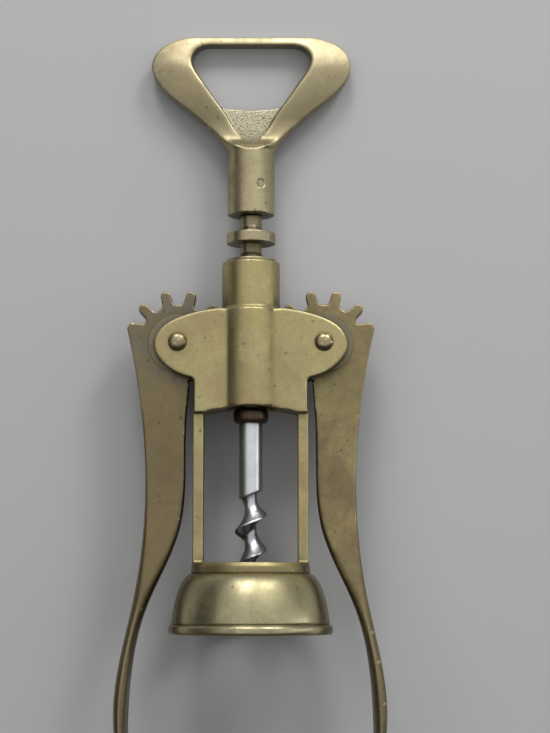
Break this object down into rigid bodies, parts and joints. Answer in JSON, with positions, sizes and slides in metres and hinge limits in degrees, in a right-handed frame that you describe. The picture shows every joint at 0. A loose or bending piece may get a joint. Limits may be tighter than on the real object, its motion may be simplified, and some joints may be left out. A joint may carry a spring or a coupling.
{
  "type": "double-lever corkscrew",
  "caption": "Double-lever brass corkscrew with a bell foot, geared wing levers on a ringed rack, a turning steel worm and a loop handle that opens crown caps.",
  "frame": {"origin": "centre of the bell's mouth, where the bottle's neck goes in", "axes": "+Y along the screw axis towards the handle, +Z out of the front face, +X to the right; the corkscrew lies on its back"},
  "size_m": [0.0652, 0.1774, 0.0396],
  "materials": {
    "frame_brass": "aged, cast, satin",
    "bell_brass": "aged, turned, satin",
    "lever_brass": "aged, worn, browner",
    "handle_brass": "aged, cast, satin",
    "rack_brass": "turned, satin",
    "rivet_brass": "domed, worn bright",
    "washer_brass": "rolled, satin",
    "worm_steel": "bright, drawn",
    "spindle_steel": "turned",
    "pin_steel": "dull, darkened",
    "ferrule_copper": "copper-tinted, satin"
  },
  "bodies": {
    "body": {"frame": "frame_brass", "bell": "bell_brass", "left_rivet": "rivet_brass", "right_rivet": "rivet_brass", "left_front_washer": "washer_brass", "left_rear_washer": "washer_brass", "right_front_washer": "washer_brass", "right_rear_washer": "washer_brass"},
    "rack": {"rack_sleeve": "rack_brass"},
    "screw": {"spindle": "spindle_steel", "handle": "handle_brass", "handle_cross_pin": "pin_steel", "worm": "worm_steel", "worm_ferrule": "ferrule_copper", "worm_lock_pin": "pin_steel"},
    "lever_left": {"left_lever": "lever_brass"},
    "lever_right": {"right_lever": "lever_brass"}
  },
  "joints": [
    {"name": "rack_slide", "type": "slide", "parent": "body", "child": "rack", "axis": [0, -1, 0], "range_m": [0, 0.02617]},
    {"name": "handle_spin", "type": "hinge", "parent": "rack", "child": "screw", "pos_m": [0, 0.08, 0], "axis": [0, 1, 0], "continuous": true},
    {"name": "left_lever_hinge", "type": "hinge", "parent": "body", "child": "lever_left", "pos_m": [-0.0178, 0.0705, 0], "axis": [0, 0, -1], "range_deg": [0, 120]},
    {"name": "right_lever_hinge", "type": "hinge", "parent": "body", "child": "lever_right", "pos_m": [0.0178, 0.0705, 0], "axis": [0, 0, 1], "range_deg": [0, 120]}
  ],
  "couplings": [
    {"joint": "left_lever_hinge", "follows": "rack_slide", "rad_per_m": 80},
    {"joint": "right_lever_hinge", "follows": "rack_slide", "rad_per_m": 80}
  ]
}
